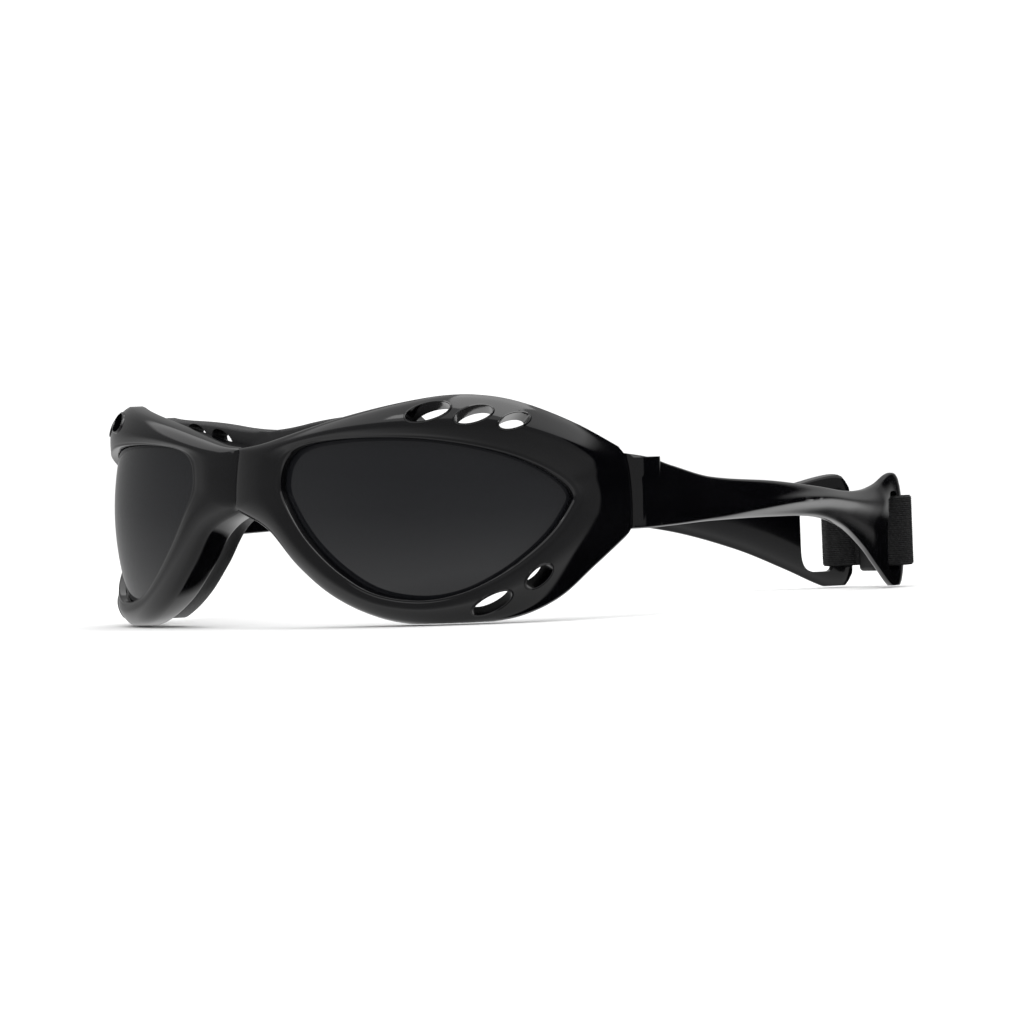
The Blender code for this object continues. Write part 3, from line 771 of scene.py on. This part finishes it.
def slot_shape(side, depth, segments=72):
    """A tall D-shaped opening for the webbing, square to the temple's face."""
    start, end = (Vector(temple_path(t)[0]) for t in SLOT_SPAN)
    middle, along = (start + end) / 2, end - start
    half_long, half_high = along.length / 2, (SLOT_Z[1] - SLOT_Z[0]) / 2
    along.normalize()
    across = Vector((along.y, -along.x))
    points = []
    for k in range(segments):
        angle = 2 * math.pi * k / segments
        a, b = math.cos(angle), math.sin(angle)
        a = math.copysign(abs(a) ** (0.25 if a > 0.0 else 0.75), a) * half_long
        b = math.copysign(abs(b) ** 0.4, b) * half_high
        flat = middle + along * a + across * depth
        points.append(place(side * flat.x, flat.y, sum(SLOT_Z) / 2 + b))
    return points


def make_temple(word, side, material):
    sections = [temple_section(i / TEMPLE_STEPS, side) for i in range(TEMPLE_STEPS + 1)]
    temple = loft(f"temple_{word}_fine", sections, False)
    x = side * AXIS_X
    barrel = cylinder_tool(x, AXIS_Y, *BARREL_Z, BARREL, 96)
    x_low, x_high = side_span(side, AXIS_X + BARREL_FLAT, AXIS_X + BARREL_CUT)
    combine(barrel, box_tool((x_low, AXIS_Y - BARREL_CUT, TALL_Z[0]),
                             (x_high, AXIS_Y + BARREL_CUT_BACK, TALL_Z[1])), "DIFFERENCE")
    x_low, x_high = side_span(side, AXIS_X - BARREL_CUT, AXIS_X + BARREL_CUT)
    trim = box_tool((x_low, AXIS_Y - BARREL_CUT, 5.0), (x_high, AXIS_Y - 0.07, 45.0))
    combine(trim, cylinder_tool(x, AXIS_Y, *TALL_Z, BARREL, 96), "DIFFERENCE")
    combine(temple, barrel, "UNION")
    combine(temple, trim, "DIFFERENCE")
    for z in KNUCKLE_Z:
        low = z - KNUCKLE_HEIGHT / 2 - KNUCKLE_PLAY
        high = z + KNUCKLE_HEIGHT / 2 + KNUCKLE_PLAY
        x_low, x_high = side_span(side, *KNUCKLE_CUT_X)
        combine(temple, box_tool((x_low, KNUCKLE_CUT_Y[0], low + 0.013),
                                 (x_high, KNUCKLE_CUT_Y[1], high - 0.013)), "DIFFERENCE")
        combine(temple, cylinder_tool(x, AXIS_Y, low, high, KNUCKLE_RADIUS + 0.35), "DIFFERENCE")
    combine(temple, cylinder_tool(x, AXIS_Y, PIN_BOTTOM + 0.5, THROUGH_Z[1],
                                  PIN_RADIUS + PIN_PLAY, 32), "DIFFERENCE")
    combine(temple, cylinder_tool(x, AXIS_Y, THROUGH_Z[0], PIN_BOTTOM + 0.95,
                                  HEAD_RADIUS + PIN_PLAY, 48), "DIFFERENCE")
    slot = loft("slot_tool", [slot_shape(side, depth) for depth in SLOT_CUT_DEPTHS], False)
    combine(temple, slot, "DIFFERENCE")
    combine(temple, box_tool(*TEMPLE_FLOOR_CUT), "DIFFERENCE")
    finish_piece(temple, material, ARMS[word], [f"temple_{word}"], 38.0)


def make_screw(word, side, material):
    """A small machine screw with a slotted head under the barrel."""
    x = side * AXIS_X
    screw = cylinder_tool(x, AXIS_Y, PIN_BOTTOM + 0.5, PIN_TOP, PIN_RADIUS, 40)
    combine(screw, cylinder_tool(x, AXIS_Y, PIN_BOTTOM - 0.5, PIN_BOTTOM + 0.6, HEAD_RADIUS, 48),
            "UNION")
    combine(screw, box_tool((x - 3.0, AXIS_Y - 0.2, PIN_BOTTOM - 2.0),
                            (x + 3.0, AXIS_Y + 0.2, PIN_BOTTOM)), "DIFFERENCE")
    screw.name = f"hinge_screw_{word}_fine"
    finish_piece(screw, material, FRONT, [f"hinge_screw_{word}"])


# ---------------------------------------------------------------- strap

def web_face(share):
    """How far the ribbed face stands out, at a share of the webbing's width."""
    return WEB_THICK - RIB_HEIGHT + RIB_HEIGHT * math.cos(2 * math.pi * RIB_COUNT * share)


def make_strap(word, side, material):
    """Ribbed webbing looped round the temple's end bar, with a tail to the slider."""
    near, far = Vector(temple_path(SLOT_SPAN[1])[0]), Vector(temple_path(1.0)[0])
    along = (far - near).normalized()
    across = Vector((along.y, -along.x))
    middle = (near + far) / 2
    half_long, half_thick = (far - near).length / 2 + 0.7, 2.3
    low = (sum(SLOT_Z) - WEB_WIDTH) / 2

    def point(angle, z, extra):
        ca, sa = math.cos(angle), math.sin(angle)
        u = math.copysign(abs(ca) ** 0.55, ca) * (half_long + extra)
        v = math.copysign(abs(sa) ** 0.55, sa) * (half_thick + extra)
        flat = middle + along * u + across * v
        return place(side * flat.x, flat.y, z)

    sections = []
    for i in range(WEB_ROUNDS):
        angle = 2 * math.pi * i / WEB_ROUNDS
        section = []
        for k in range(WEB_LEVELS):
            share = k / (WEB_LEVELS - 1)
            edge = EDGE_ROUND * (smooth_step(0.03, 0.0, share) if share < 0.5
                                 else smooth_step(0.97, 1.0, share))
            section.append(point(angle, low + WEB_WIDTH * share, web_face(share) - edge))
        for k in (WEB_LEVELS - 1, 0):
            section.append(point(angle, low + WEB_WIDTH * k / (WEB_LEVELS - 1), 0.0))
        sections.append(section)
    strap = loft(f"webbing_{word}", sections, True)
    tail_sections = []
    for x in side_span(side, SLIDER[0] / 2 + 0.4, TAIL_X):
        ring = []
        for face in (1, -1):
            for k in range(WEB_LEVELS):
                share = k / (WEB_LEVELS - 1) if face > 0 else 1.0 - k / (WEB_LEVELS - 1)
                z = low + 0.05 + (WEB_WIDTH - 0.1) * share
                ring.append(place(x, TAIL_Y + face * web_face(share), z))
        tail_sections.append(ring)
    combine(strap, loft("tail_tool", tail_sections, False), "UNION")
    finish_piece(strap, material, ARMS[word], [f"strap_{word}"], 50.0)


def make_slider(material):
    """The adjuster: a rounded bar with two slots for the webbing ends."""
    z = sum(SLOT_Z) / 2
    half = [v / 2 for v in SLIDER]
    slider = box_tool((-half[0], TAIL_Y - half[1], z - half[2]),
                      (half[0], TAIL_Y + half[1], z + half[2]))
    slider.name = "strap_adjuster"
    bevel = slider.modifiers.new("bevel", "BEVEL")
    bevel.width = 0.9 * MM
    bevel.segments = 6
    bake(slider)
    for x in (-half[0], half[0]):
        combine(slider, box_tool((x - 0.7, TAIL_Y - WEB_THICK - 0.25, z - WEB_WIDTH / 2 - 0.2),
                                 (x + 0.7, TAIL_Y + WEB_THICK + 0.25, z + WEB_WIDTH / 2 + 0.2)),
                "DIFFERENCE")
    finish_piece(slider, material, ARMS["left"], ["strap_slider"])


# ---------------------------------------------------------------- studio

def add_camera():
    """A long lens from the front left; gives back the direction from the glasses to it."""
    turn, rise = math.radians(CAMERA_TURN), math.radians(CAMERA_RISE)
    away = Vector((math.sin(turn) * math.cos(rise), -math.cos(turn) * math.cos(rise),
                   math.sin(rise)))
    data = bpy.data.cameras.new("camera")
    data.lens = CAMERA_LENS
    data.sensor_width = 36.0
    data.clip_start = 0.05
    camera = bpy.data.objects.new("camera", data)
    bpy.context.scene.collection.objects.link(camera)
    camera.rotation_mode = "QUATERNION"
    look = away.to_track_quat("Z", "Y")
    camera.rotation_quaternion = look @ Quaternion((0.0, 0.0, 1.0), math.radians(CAMERA_ROLL))
    camera.location = CAMERA_AIM + away * CAMERA_REACH
    bpy.context.scene.camera = camera
    return away


def add_light(name, location, target, size, power):
    data = bpy.data.lights.new(name, "AREA")
    data.shape = "RECTANGLE"
    data.size, data.size_y = size
    data.energy = power
    light = bpy.data.objects.new(name, data)
    bpy.context.scene.collection.objects.link(light)
    light.location = location
    light.rotation_euler = (Vector(location) - Vector(target)).to_track_quat("Z", "Y").to_euler()


def world_step(tree, source, edge, low, high):
    step = tree.nodes.new("ShaderNodeMapRange")
    step.inputs["From Min"].default_value, step.inputs["From Max"].default_value = edge
    step.inputs["To Min"].default_value = low
    step.inputs["To Max"].default_value = high
    tree.links.new(source, step.inputs["Value"])
    return step.outputs["Result"]


def world_math(tree, operation, first, second):
    node = tree.nodes.new("ShaderNodeMath")
    node.operation = operation
    tree.links.new(first, node.inputs[0])
    tree.links.new(second, node.inputs[1])
    return node.outputs["Value"]


def add_world():
    """White to the camera and to matt surfaces; in reflections a grey front, a lit top, a dark back."""
    world = bpy.data.worlds.new("studio")
    bpy.context.scene.world = world
    world.use_nodes = True
    tree = world.node_tree
    shade = tree.nodes["Background"]
    path = tree.nodes.new("ShaderNodeLightPath")
    where = tree.nodes.new("ShaderNodeTexCoord")
    split = tree.nodes.new("ShaderNodeSeparateXYZ")
    tree.links.new(where.outputs["Generated"], split.inputs["Vector"])
    ramp = tree.nodes.new("ShaderNodeValToRGB")
    stops = ramp.color_ramp.elements
    while len(stops) < len(WORLD_STEPS):
        stops.new(0.5)
    for stop, (height, level) in zip(stops, WORLD_STEPS):
        stop.position = (height + 1.0) / 2.0
        stop.color = (level, level, level, 1.0)
    tree.links.new(world_step(tree, split.outputs["Z"], (-1.0, 1.0), 0.0, 1.0), ramp.inputs["Fac"])
    front = world_step(tree, split.outputs["Y"], BACK_EDGE, 1.0, 0.01)
    far = world_step(tree, split.outputs["X"], FAR_EDGE, 1.0, 0.01)
    front = world_math(tree, "MAXIMUM", front, far)
    grey = world_math(tree, "MULTIPLY", ramp.outputs["Color"], front)
    top = world_step(tree, split.outputs["Z"], TOP_EDGE, 0.0, TOP_LEVEL)
    level = world_math(tree, "MAXIMUM", grey, top)
    mix = tree.nodes.new("ShaderNodeMix")
    mix.data_type = "RGBA"
    mix.inputs["A"].default_value = (ROOM_WHITE, ROOM_WHITE, ROOM_WHITE, 1.0)
    tree.links.new(path.outputs["Is Glossy Ray"], mix.inputs["Factor"])
    tree.links.new(level, mix.inputs["B"])
    tree.links.new(mix.outputs["Result"], shade.inputs["Color"])


def add_floor():
    """A wide white table just below the glasses, left out of reflections."""
    bm = bmesh.new()
    bmesh.ops.create_circle(bm, cap_ends=True, segments=96, radius=FLOOR_RADIUS)
    floor = bmesh_object("floor", bm)
    floor.location.z = -FLOOR_DROP
    material, _, shader = new_material("floor_white", (0.9, 0.9, 0.9), 0.9)
    shader.inputs["Specular IOR Level"].default_value = 0.1
    floor.data.materials.append(material)
    floor.visible_glossy = False


def main():
    away = add_camera()
    gloss = gloss_material()
    smoke = lens_material()
    rubber = rubber_material()
    webbing = webbing_material()
    steel = steel_material()
    make_frame(gloss)
    make_gasket(rubber)
    for word, side in SIDES:
        make_lens(word, side, smoke)
        make_temple(word, side, gloss)
        make_screw(word, side, steel)
        make_strap(word, side, webbing)
    make_slider(slider_material())
    add_world()
    add_floor()
    left = Vector((away.y, -away.x, 0.0)).normalized()
    add_light("overhead", OVERHEAD, (0.0, -0.02, 0.02), (0.9, 0.6), 4.0)
    add_light("high_front", away * 0.35 + left * 0.45 + Vector((0, 0, 0.6)), (0, -0.06, 0.02),
              (0.4, 0.1), 0.35)
    bpy.context.scene.view_settings.view_transform = "Standard"


main()
bpy.context.view_layer.update()
